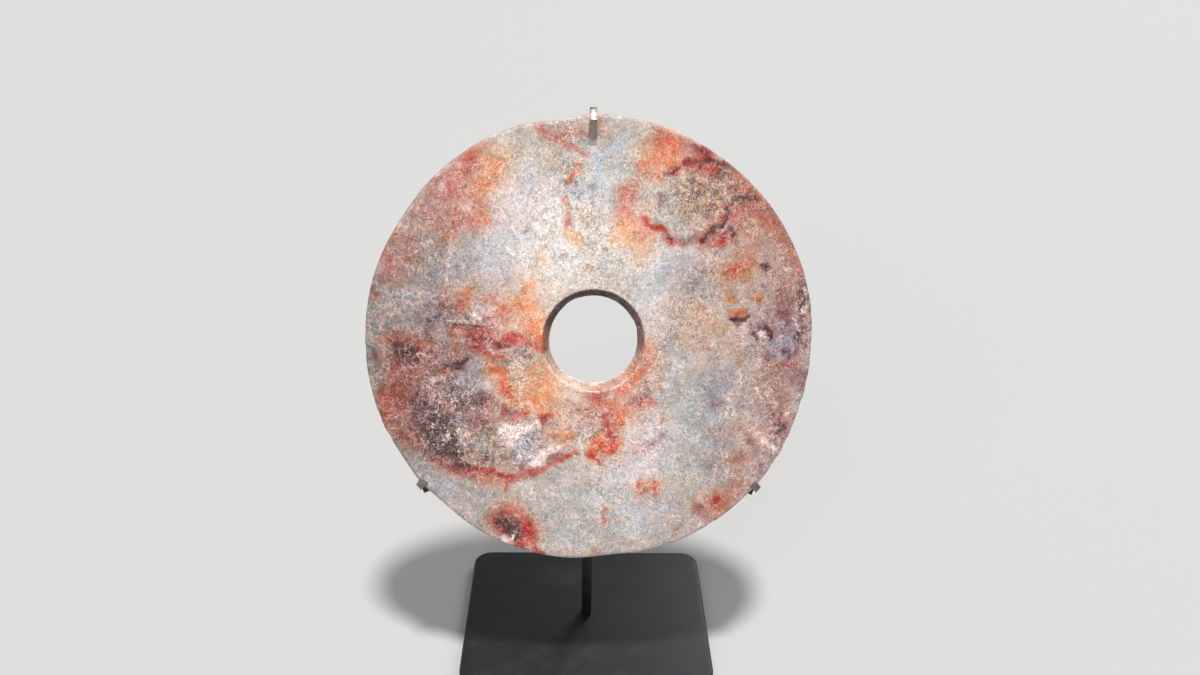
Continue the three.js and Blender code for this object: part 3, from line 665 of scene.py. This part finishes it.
def disc_points(seat, settings):
    """Grid of the disc's points, a row for each loop round it: x, y and height. Neighbouring
    loops join, and the last joins the first."""
    angle = np.linspace(0, 2 * math.pi, settings.around, endpoint=False)
    turn = np.stack((np.cos(angle), np.sin(angle)))
    hole = np.array(seat.HOLE_FROM_MIDDLE)[:, None]
    rim, rim_wear = seat.outline(angle), chip_depth(angle, RIM_CHIPS)
    waist_wear = chip_depth(angle, WAIST_CHIPS)
    rows = []

    def face_rows(side, steps):
        """Loops from the hole to the rim on the front, where side is 1, and back behind."""
        inner = turn * seat.mouth + hole
        inset = (settings.rim_swell + settings.rim_arris) / MM
        outer = turn * (rim - inset - rim_wear * (1.0 if side > 0 else BACK_WEAR))
        shares = np.linspace(0, 1, steps + 2)[1:-1]
        for share in shares if side > 0 else shares[::-1]:
            flat = inner * (1 - share) + outer * share
            rows.append((*flat, np.full(angle.shape, side * seat.half)))

    face_rows(1, settings.across)
    for inset, height in rim_section(seat, settings):
        # Chips bite in from the rim's edges, and half as far down from the faces.
        near_edge = min(1.0, max(0.0, abs(height) / seat.half - 0.45) * 2)
        bite = rim_wear * near_edge * (1.0 if height > 0 else BACK_WEAR)
        flat = turn * (rim - inset - bite)
        rows.append((*flat, height - np.sign(height) * bite / 2))
    face_rows(-1, int(settings.across * BACK_RINGS))
    for radius, height in bore_section(seat):
        # Chips on the waist fade out 2.5 mm from it.
        near_waist = np.clip(1 - abs(height) / 2.5, 0, 1)
        flat = turn * (radius + waist_wear * near_waist) + hole
        rows.append((*flat, np.full(angle.shape, float(height))))
    return [np.stack(part) for part in zip(*rows)]


def outward(x, y, height):
    """Unit normals of the closed grid."""
    grid = np.stack((x, y, height), axis=-1)
    along = np.roll(grid, -1, axis=1) - np.roll(grid, 1, axis=1)
    across = np.roll(grid, -1, axis=0) - np.roll(grid, 1, axis=0)
    normal = np.cross(across, along)
    return normal / np.maximum(np.linalg.norm(normal, axis=-1, keepdims=True), 1e-9)


def grid_mesh(name, points):
    """A closed mesh of quads over a grid of points that joins up both ways."""
    rows, columns = points.shape[:2]
    row, column = np.meshgrid(np.arange(rows), np.arange(columns), indexing="ij")
    next_row, next_column = (row + 1) % rows, (column + 1) % columns
    corners = [(row, column), (next_row, column), (next_row, next_column), (row, next_column)]
    quads = np.stack([(r * columns + c).ravel() for r, c in corners], axis=1)
    mesh = bpy.data.meshes.new(name)
    mesh.vertices.add(rows * columns)
    mesh.vertices.foreach_set("co", points.reshape(-1))
    mesh.loops.add(quads.size)
    mesh.loops.foreach_set("vertex_index", quads.ravel().astype(np.int32))
    mesh.polygons.add(len(quads))
    mesh.polygons.foreach_set("loop_start", np.arange(0, quads.size, 4, dtype=np.int32))
    mesh.update(calc_edges=True)
    mesh.validate()
    mesh.shade_smooth()
    return mesh


def hole_shade_and_highlight(seat, x, y):
    """Cover of the painted shade on the hole's wall, a dark brown darkest at the top, then the painted
    highlight on the pale edges at the mouth and waist at the bottom, and darker painted shade, laid as ink,
    at the top."""
    lip = 0.3
    hole_x, hole_y = (at - off for at, off in zip((x, y), seat.HOLE_FROM_MIDDLE))
    from_hole = np.hypot(hole_x, hole_y)
    rise = hole_y / from_hole
    cover = np.clip((seat.mouth - lip - from_hole) / (2 * lip), 0, 1) * (0.52 + 0.46 * rise)
    lip_highlight = sum(np.exp(-(((from_hole - at) / lip) ** 2)) for at in (seat.mouth - 0.25, seat.waist))
    return cover, lip_highlight * np.clip(-1.5 * rise, 0, 1), 1.6 * cover * np.clip(0.4 + rise, 0, 1)


def make_disc(scene):
    """The disc as one closed mesh, with its relief and its stone fields."""
    settings = scene.bi_disc
    seat = Seat(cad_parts["jade_disc"])
    x, y, height = disc_points(seat, settings)
    through = np.clip((1 - height / seat.half) / 2, 0, 1)
    tone, fields = stone_fields(x, y, through, scene.bi_jade)
    wall, lip_highlight, wall_top_shade = hole_shade_and_highlight(seat, x, y)
    # The hole's wall takes painted shade, darkest at the top, and its pale edges at the bottom take a
    # painted highlight laid as chalk.
    tone += (np.array(scene.bi_jade.wall) - tone) * wall[..., None]
    fields["chalk"] = np.maximum(fields["chalk"] * (1 - wall), lip_highlight)

    # Slow waves 26 mm across and finer ones, then pits in the ink and grains out of the coarse
    # stone, which are up to 2 mm across.
    relief = settings.unevenness / MM * rough_noise(x + through * BACK_SHIFT, y, 26.0, 31)
    relief += RIPPLES * rough_noise(x, y + through * BACK_SHIFT, 5.0, 41)
    relief -= settings.pitting / MM * np.minimum(fields["ink"], 1.0) * lattice_noise(x, y, 1.6, 51)
    relief -= GRAIN_PITS * fields["coarse"] * lattice_noise(x, y, 2.2, 61)
    worn = np.stack((x, y, height), axis=-1) + outward(x, y, height) * relief[..., None]
    mesh = grid_mesh("jade_disc_stone", seat.to_row(*worn.transpose(2, 0, 1)))
    # The painted shade at the top of the wall, laid as ink, comes after the relief, so that the wall stays
    # smooth.
    fields["ink"] += wall_top_shade

    colours = np.concatenate((tone, np.ones((*x.shape, 1))), axis=-1)
    mesh.attributes.new("tone", "FLOAT_COLOR", "POINT").data.foreach_set("color", colours.ravel())
    for name, field in fields.items():
        layer = mesh.attributes.new(name, "FLOAT", "POINT")
        layer.data.foreach_set("value", field.ravel().astype(np.float32))
    piece = bpy.data.objects.new("jade_disc_stone", mesh)
    scene.collection.objects.link(piece)
    return piece


# ---- Materials ----


def add(tree, kind, inputs=(), output=0, **settings):
    """Adds a node with its settings and gives back one of its outputs. The inputs are values,
    sRGB hex colours or links, in order or by name."""
    made = tree.nodes.new("ShaderNode" + kind)
    for name, value in settings.items():
        setattr(made, name, value)
    for socket, value in inputs.items() if isinstance(inputs, dict) else enumerate(inputs):
        if isinstance(value, bpy.types.NodeSocket):
            tree.links.new(value, made.inputs[socket])
        else:
            is_hex = isinstance(value, str)
            made.inputs[socket].default_value = (*to_linear(value), 1.0) if is_hex else value
    return made.outputs[output]


def new_material(name):
    """An empty material, a function that adds nodes to it, and its places in millimetres."""
    material = bpy.data.materials.new(name)
    material.use_nodes = True
    material.node_tree.nodes.clear()
    node = partial(add, material.node_tree)
    place = node("TexCoord", output="Object")
    return material, node, node("VectorMath", {0: place, "Scale": 1 / MM}, operation="SCALE")


def surface(material, values):
    """Joins a shader with these values to the material's output."""
    tree = material.node_tree
    shader = add(tree, "BsdfPrincipled", values)
    tree.links.new(shader, tree.nodes.new("ShaderNodeOutputMaterial").inputs["Surface"])
    return material


def jade_material():
    """Nephrite, ground flat and polished, then altered by burial. Its felted fibres show as
    short pale threads and dark flecks about a millimetre wide, and every stain follows them, so
    its edges are ragged. The polish is dulled to a satin, duller still on chalk."""
    material, node, mm = new_material("nephrite_buried_polish")
    smoothly = {"interpolation_type": "SMOOTHSTEP"}

    def field(size, detail, distortion, shift, low=0.3, high=0.7):
        """Noise with features of a size in mm, stretched to run from about -1 to 1."""
        noise = {
            "Vector": node("VectorMath", (mm, (shift, shift * 0.7, -shift))),
            "Scale": 1 / size,
            "Detail": detail,
            "Roughness": 0.6,
            "Distortion": distortion,
        }
        return node("MapRange", (node("TexNoise", noise), low, high, -1.0, 1.0))

    def total(base, *parts):
        """A base and values, each times its weight."""
        for value, weight in parts:
            base = node("Math", (value, weight, base), operation="MULTIPLY_ADD")
        return base

    def lay(colour, over, value, start, end, top, share=1.0):
        """Lays a colour over another as a value goes from start to end, up to a top cover."""
        cover = node("MapRange", (value, start, end, 0.0, top), **smoothly)
        cover = node("Math", (cover, share), operation="MULTIPLY")
        return node("Mix", {0: cover, 6: colour, 7: over}, 2, data_type="RGBA")

    blotches, flecks = field(3.0, 3.0, 0.8, 31.0), field(1.5, 2.0, 1.0, 57.0, 0.32, 0.68)
    grain = total(0.0, (blotches, 0.3), (flecks, 0.6), (field(0.7, 1.0, 0.8, 83.0), 0.5))
    coarse = node("Attribute", output="Fac", attribute_name="coarse")

    # The stone drifts to blush, blue grey and olive in clouds from 11 mm down to 3 mm across.
    # Each is its size in mm, distortion, shift, colour and most cover.
    drifts = (
        (11.0, 0.5, 0.0, "#e3b3a4", 0.3),
        (6.5, 0.8, 131.0, "#a9bcc8", 0.42),
        (5.0, 0.8, 173.0, "#c8b27e", 0.4),
        (3.0, 0.8, 211.0, "#9fb0b4", 0.4),
        (2.6, 0.8, 241.0, "#e0a890", 0.45),
    )
    colour = node("Attribute", output="Color", attribute_name="tone")
    for size, distortion, shift, tint, cover in drifts:
        colour = lay(colour, tint, field(size, 3.0, distortion, shift), 0.1, 0.9, cover)

    # Iron and manganese lie in the stone as clear stains: each lets its share of red, green
    # and blue past for every unit of depth, so the stone's own grain still shows through them.
    # Chalk lies over them all. Each is its name, the size of its rags in mm and what it passes.
    stains = (
        ("ochre", 2.4, (1.02, 0.66, 0.42)),
        ("rust", 2.0, (0.94, 0.385, 0.3)),
        ("ink", 1.7, (0.38, 0.17, 0.2)),
        ("chalk", 2.0, None),
    )
    push = total(0.36, (coarse, 0.25))
    masks = {}
    for number, (name, size, passed) in enumerate(stains):
        rags = total(field(size, 4.0, 1.2, 300.0 + 40.0 * number), (grain, 0.45))
        swing = node("Math", (total(1.22, (rags, push)), 0.1), operation="MAXIMUM")
        stain = node("Attribute", output="Fac", attribute_name=name)
        depth = node("Math", (stain, swing), operation="MULTIPLY")
        masks[name] = node("MapRange", (depth, 0.1, 1.5, 0.0, 1.0), **smoothly)
        if passed:
            left = node("VectorMath", (passed, depth), operation="POWER")
            colour = node("VectorMath", (colour, left), operation="MULTIPLY")
    colour = node("Mix", {0: masks["chalk"], 6: colour, 7: "#fde4dc"}, 2, data_type="RGBA")

    # Coarse stone is a crush of many colours: size of the grains in mm, shift, colour and cover.
    crush = (
        (3.4, 511.0, "#a8955f", 0.5),
        (2.8, 547.0, "#8c3f3c", 0.65),
        (3.6, 583.0, "#363d4a", 0.95),
        (2.6, 601.0, "#564a62", 0.6),
        (2.0, 619.0, "#f0c6b6", 0.9),
    )
    for size, shift, tint, cover in crush:
        colour = lay(colour, tint, field(size, 2.0, 1.2, shift), 0.15, 0.75, cover, coarse)

    # The grain shades the stone, less in smoother patches 8 mm across and more where coarse.
    smoother = node("MapRange", (field(8.0, 2.0, 0.0, 401.0), -0.6, 0.7, 0.0, -0.16), **smoothly)
    contrast = total(0.36, (masks["rust"], 0.1), (smoother, 1.0), (coarse, 0.4))
    shade = {0: colour, "Scale": total(0.95, (grain, contrast))}
    colour = node("VectorMath", shade, operation="SCALE")
    # Dark specks of a millimetre, thick where the stone is coarse.
    speck_cover = total(0.42, (coarse, 0.45))
    colour = lay(colour, "#5a4540", field(1.0, 1.0, 1.5, 97.0), 0.35, 0.85, 1.0, speck_cover)

    # Threads of felted fibre run where a twisted noise passes its middle value. Dark and pale
    # ones scale the colour under them, then take their share of a colour, where they show.
    bare = total(1.0, (masks["ink"], -0.45), (masks["rust"], -0.2))
    dark, pale = (0.5, "#3c2e2e", 0.35, 1.0), (1.45, "#ffe6e0", 0.42, bare)
    # Each is the size of its net in mm, shift, half width as a share of the noise, and cover.
    threads = (
        (6.0, 27.0, 0.1265, 0.85, dark),
        (3.4, 35.0, 0.1725, 0.8, dark),
        (9.5, 7.0, 0.1035, 1.0, pale),
        (5.6, 11.0, 0.1495, 1.0, pale),
        (3.3, 19.0, 0.1955, 0.9, pale),
    )
    for size, shift, width, cover, (gain, tint, tinted, shown) in threads:
        middle = node("Math", (field(size, 3.0, 2.2, shift),), operation="ABSOLUTE")
        net = field(7.0, 2.0, 0.0, shift * 3)
        patches = node("MapRange", (net, -0.6, 0.7, 0.0, cover), **smoothly)
        share = node("Math", (total(patches, (coarse, 0.2)), shown), operation="MULTIPLY")
        scaled = node("VectorMath", {0: colour, "Scale": gain}, operation="SCALE")
        thread = node("Mix", {0: tinted, 6: scaled, 7: tint}, 2, data_type="RGBA")
        colour = lay(colour, thread, middle, width, 0.0, 1.0, share)

    height = total(grain, (masks["ink"], -0.8))
    # The altered skin is porous, so it reflects about half as much as fresh nephrite.
    values = {
        "Base Color": colour,
        "Roughness": total(0.46, (grain, 0.06), (masks["chalk"], 0.2)),
        "IOR": 1.61,
        "Specular IOR Level": 0.28,
        "Normal": node("Bump", {"Strength": 0.4, "Distance": 0.08 * MM, "Height": height}),
    }
    return surface(material, values)


def enamel_material(colours):
    """Mild steel bar under black stove enamel, sprayed: a satin skin with a faint orange peel of
    half a millimetre, and patches rubbed to a slightly lighter grey."""
    material, node, mm = new_material("steel_black_enamel")
    peel = node("TexNoise", {"Vector": mm, "Scale": 1 / 0.5, "Detail": 2.0})
    rubbing = node("TexNoise", {"Vector": mm, "Scale": 1 / 9, "Detail": 5.0, "Roughness": 0.6})
    wear = node("MapRange", (rubbing, 0.52, 0.75, 0.0, 0.16))
    skin = {0: wear, 6: (*colours.enamel, 1.0), 7: "#3b3a3d"}
    values = {
        "Base Color": node("Mix", skin, 2, data_type="RGBA"),
        "Roughness": node("MapRange", (rubbing, 0.3, 0.7, 0.38, 0.52)),
        "IOR": 1.5,
        "Normal": node("Bump", {"Strength": 0.25, "Distance": 0.05 * MM, "Height": peel}),
    }
    return surface(material, values)


def strip_material(colours, front):
    """Nickel silver strip, cut from sheet, bent and filed: fine file marks across its width, a soft grey
    gloss and brown, tarnished patches. The faces towards the front are darkened with the same brown as a
    painted dark reflection, so the strips catch the eye less."""
    material, node, mm = new_material("nickel_silver_filed")
    # File marks are drawn 0.35 mm apart, coarse enough to show, and long across the strip's
    # width, which is close to X.
    long_marks = node("VectorMath", (mm, (0.06, 1.0, 1.0)), operation="MULTIPLY")
    marks = node("TexNoise", {"Vector": long_marks, "Scale": 1 / 0.35, "Detail": 2.0})
    patches = node("TexNoise", {"Vector": mm, "Scale": 1 / 2.4, "Detail": 4.0})
    dulled = node("MapRange", (patches, 0.42, 0.68, 0.0, 0.75))
    # The faces turned to the front are darkened as a painted dark reflection, joined to the tarnished
    # patches below.
    normal = node("TexCoord", output="Normal")
    facing = node("VectorMath", (normal, tuple(front)), "Value", operation="DOT_PRODUCT")
    dark_reflection = node("MapRange", (facing, 0.75, 0.97, 0.0, 0.6))
    dulled = node("Math", (dulled, dark_reflection), operation="MAXIMUM")
    skin = {0: dulled, 6: (*colours.strip, 1.0), 7: (*colours.tarnish_and_dark_reflection, 1.0)}
    values = {
        "Base Color": node("Mix", skin, 2, data_type="RGBA"),
        "Metallic": 1.0,
        "Roughness": node("MapRange", (marks, 0.3, 0.7, 0.3, 0.5)),
        "Normal": node("Bump", {"Strength": 0.3, "Distance": 0.03 * MM, "Height": marks}),
    }
    return surface(material, values)


def paper_material(colour):
    """Matt backdrop paper: an even pale sheet without gloss."""
    material = bpy.data.materials.new("matt_paper")
    material.use_nodes = True
    material.node_tree.nodes.clear()
    return surface(material, {"Base Color": (*colour, 1.0), "Roughness": 0.95})


# ---- The stand ----


def soften(node_name, piece_name, radius):
    """A copy of a node's solid with its sharp edges rounded to a radius in mm."""
    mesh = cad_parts[node_name].data.copy()
    mesh.name = piece_name
    mesh.materials.clear()
    mesh.shade_smooth()
    piece = bpy.data.objects.new(piece_name, mesh)
    bpy.context.scene.collection.objects.link(piece)
    weld = piece.modifiers.new("weld", "WELD")
    weld.merge_threshold = 0.01 * MM
    bevel = piece.modifiers.new("edge", "BEVEL")
    bevel.width = radius * MM
    bevel.segments = 3
    bevel.limit_method = "ANGLE"
    bevel.angle_limit = math.radians(32)
    bevel.harden_normals = True
    return piece


# ---- Operators ----


def dress(piece, material, node_name):
    """Gives a piece its finish and puts it in place of a node."""
    piece.data.materials.append(material)
    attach(piece, BODY)
    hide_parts(node_name)


class BIDISC_OT_stone(bpy.types.Operator):
    """Makes the jade disc with its relief and stains"""

    bl_idname = "bidisc.stone"
    bl_label = "Jade disc"

    def execute(self, context):
        dress(make_disc(context.scene), jade_material(), "jade_disc")
        return {"FINISHED"}


class BIDISC_OT_stand(bpy.types.Operator):
    """Dresses the cradle, stem and foot in black enamel"""

    bl_idname = "bidisc.stand"
    bl_label = "Cradle, stem and foot"

    def execute(self, context):
        enamel = enamel_material(context.scene.bi_stand)
        # Node, piece and radius of its edges in mm.
        pieces = (
            ("cradle_frame", "cradle_bars", 0.5),
            ("stem", "stem_bar", 0.4),
            ("foot_plate", "foot_plate_steel", 0.3),
        )
        for node_name, piece_name, radius in pieces:
            dress(soften(node_name, piece_name, radius), enamel, node_name)
        return {"FINISHED"}


class BIDISC_OT_clips(bpy.types.Operator):
    """Dresses the three clips at the rim in filed metal"""

    bl_idname = "bidisc.clips"
    bl_label = "Clips"

    def execute(self, context):
        front = Seat(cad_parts["jade_disc"]).forward
        metal = strip_material(context.scene.bi_stand, front)
        for node_name in ("top_clip", "left_clip", "right_clip"):
            dress(soften(node_name, node_name + "_strip", 0.18), metal, node_name)
        return {"FINISHED"}


class BIDISC_OT_stage(bpy.types.Operator):
    """Sets the camera, the floor and the lights"""

    bl_idname = "bidisc.stage"
    bl_label = "Stage"

    def execute(self, context):
        scene = context.scene
        stage = scene.bi_stage
        middle = Vector(Seat(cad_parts["jade_disc"]).middle) * MM
        lens = bpy.data.cameras.new("camera")
        lens.sensor_width = 36.0
        lens.lens = stage.lens
        lens.clip_start, lens.clip_end = 0.01, 30.0
        camera = bpy.data.objects.new("camera", lens)
        level = math.pi / 2 - stage.elevation
        facing = Matrix.Identity(4)
        for axis, angle in (("Z", -stage.heading), ("X", level), ("Z", stage.roll)):
            facing = facing @ Matrix.Rotation(angle, 4, axis)
        camera.matrix_world = Matrix.Translation(middle + Vector(stage.offset)) @ facing
        scene.collection.objects.link(camera)
        scene.camera = camera

        # Twelve metres of paper reach past the frame.
        bpy.ops.mesh.primitive_plane_add(size=12.0, location=(0.0, 0.0, 0.0))
        floor = context.object
        floor.name = "floor"
        floor.data.materials.append(paper_material(stage.floor))

        # Name, direction towards the light, softness in degrees, strength in W/m2 and tint.
        lights = (
            ("key", (0.065, -0.164, 0.984), 7.0, 3.1, "#ffffff"),
            ("front_fill", (-0.25, -0.85, 0.55), 50.0, 0.75, "#fbfcff"),
            ("back_fill", (0.5, 0.8, 0.5), 25.0, 1.1, "#ffffff"),
        )
        for name, towards, softness, strength, tint in lights:
            data = bpy.data.lights.new(name, "SUN")
            data.angle = math.radians(softness)
            data.energy = strength
            data.color = to_linear(tint)
            lamp = bpy.data.objects.new(name, data)
            lamp.location = middle + Vector(towards)
            lamp.rotation_euler = (-Vector(towards)).to_track_quat("-Z", "Y").to_euler()
            scene.collection.objects.link(lamp)

        world = bpy.data.worlds.new("studio")
        world.use_nodes = True
        background = world.node_tree.nodes["Background"]
        background.inputs["Color"].default_value = (*to_linear("#eef1f6"), 1.0)
        background.inputs["Strength"].default_value = 0.3
        scene.world = world
        scene.view_settings.view_transform = "Standard"
        return {"FINISHED"}


class BIDISC_PT_panel(bpy.types.Panel):
    """Lists the pieces of the bi disc"""

    bl_idname = "BIDISC_PT_panel"
    bl_label = "Bi Disc"
    bl_space_type = "VIEW_3D"
    bl_region_type = "UI"
    bl_category = "Bi Disc"

    def draw(self, context):
        for name in ("stage", "stone", "stand", "clips"):
            self.layout.operator("bidisc." + name)
        for group in SETTINGS:
            settings = getattr(context.scene, group)
            box = self.layout.box()
            for name in settings.__annotations__:
                box.prop(settings, name)


SETTINGS = {
    "bi_disc": DiscSettings,
    "bi_jade": JadeColours,
    "bi_stand": StandColours,
    "bi_stage": StageSettings,
}
CLASSES = (
    *SETTINGS.values(),
    BIDISC_OT_stage,
    BIDISC_OT_stone,
    BIDISC_OT_stand,
    BIDISC_OT_clips,
    BIDISC_PT_panel,
)


def register():
    for cls in CLASSES:
        bpy.utils.register_class(cls)
    for name, group in SETTINGS.items():
        setattr(bpy.types.Scene, name, PointerProperty(type=group))


def unregister():
    for name in SETTINGS:
        delattr(bpy.types.Scene, name)
    for cls in reversed(CLASSES):
        bpy.utils.unregister_class(cls)


def main():
    register()
    bpy.ops.bidisc.stage()
    bpy.ops.bidisc.stone()
    bpy.ops.bidisc.stand()
    bpy.ops.bidisc.clips()


if __name__ == "__main__":
    main()
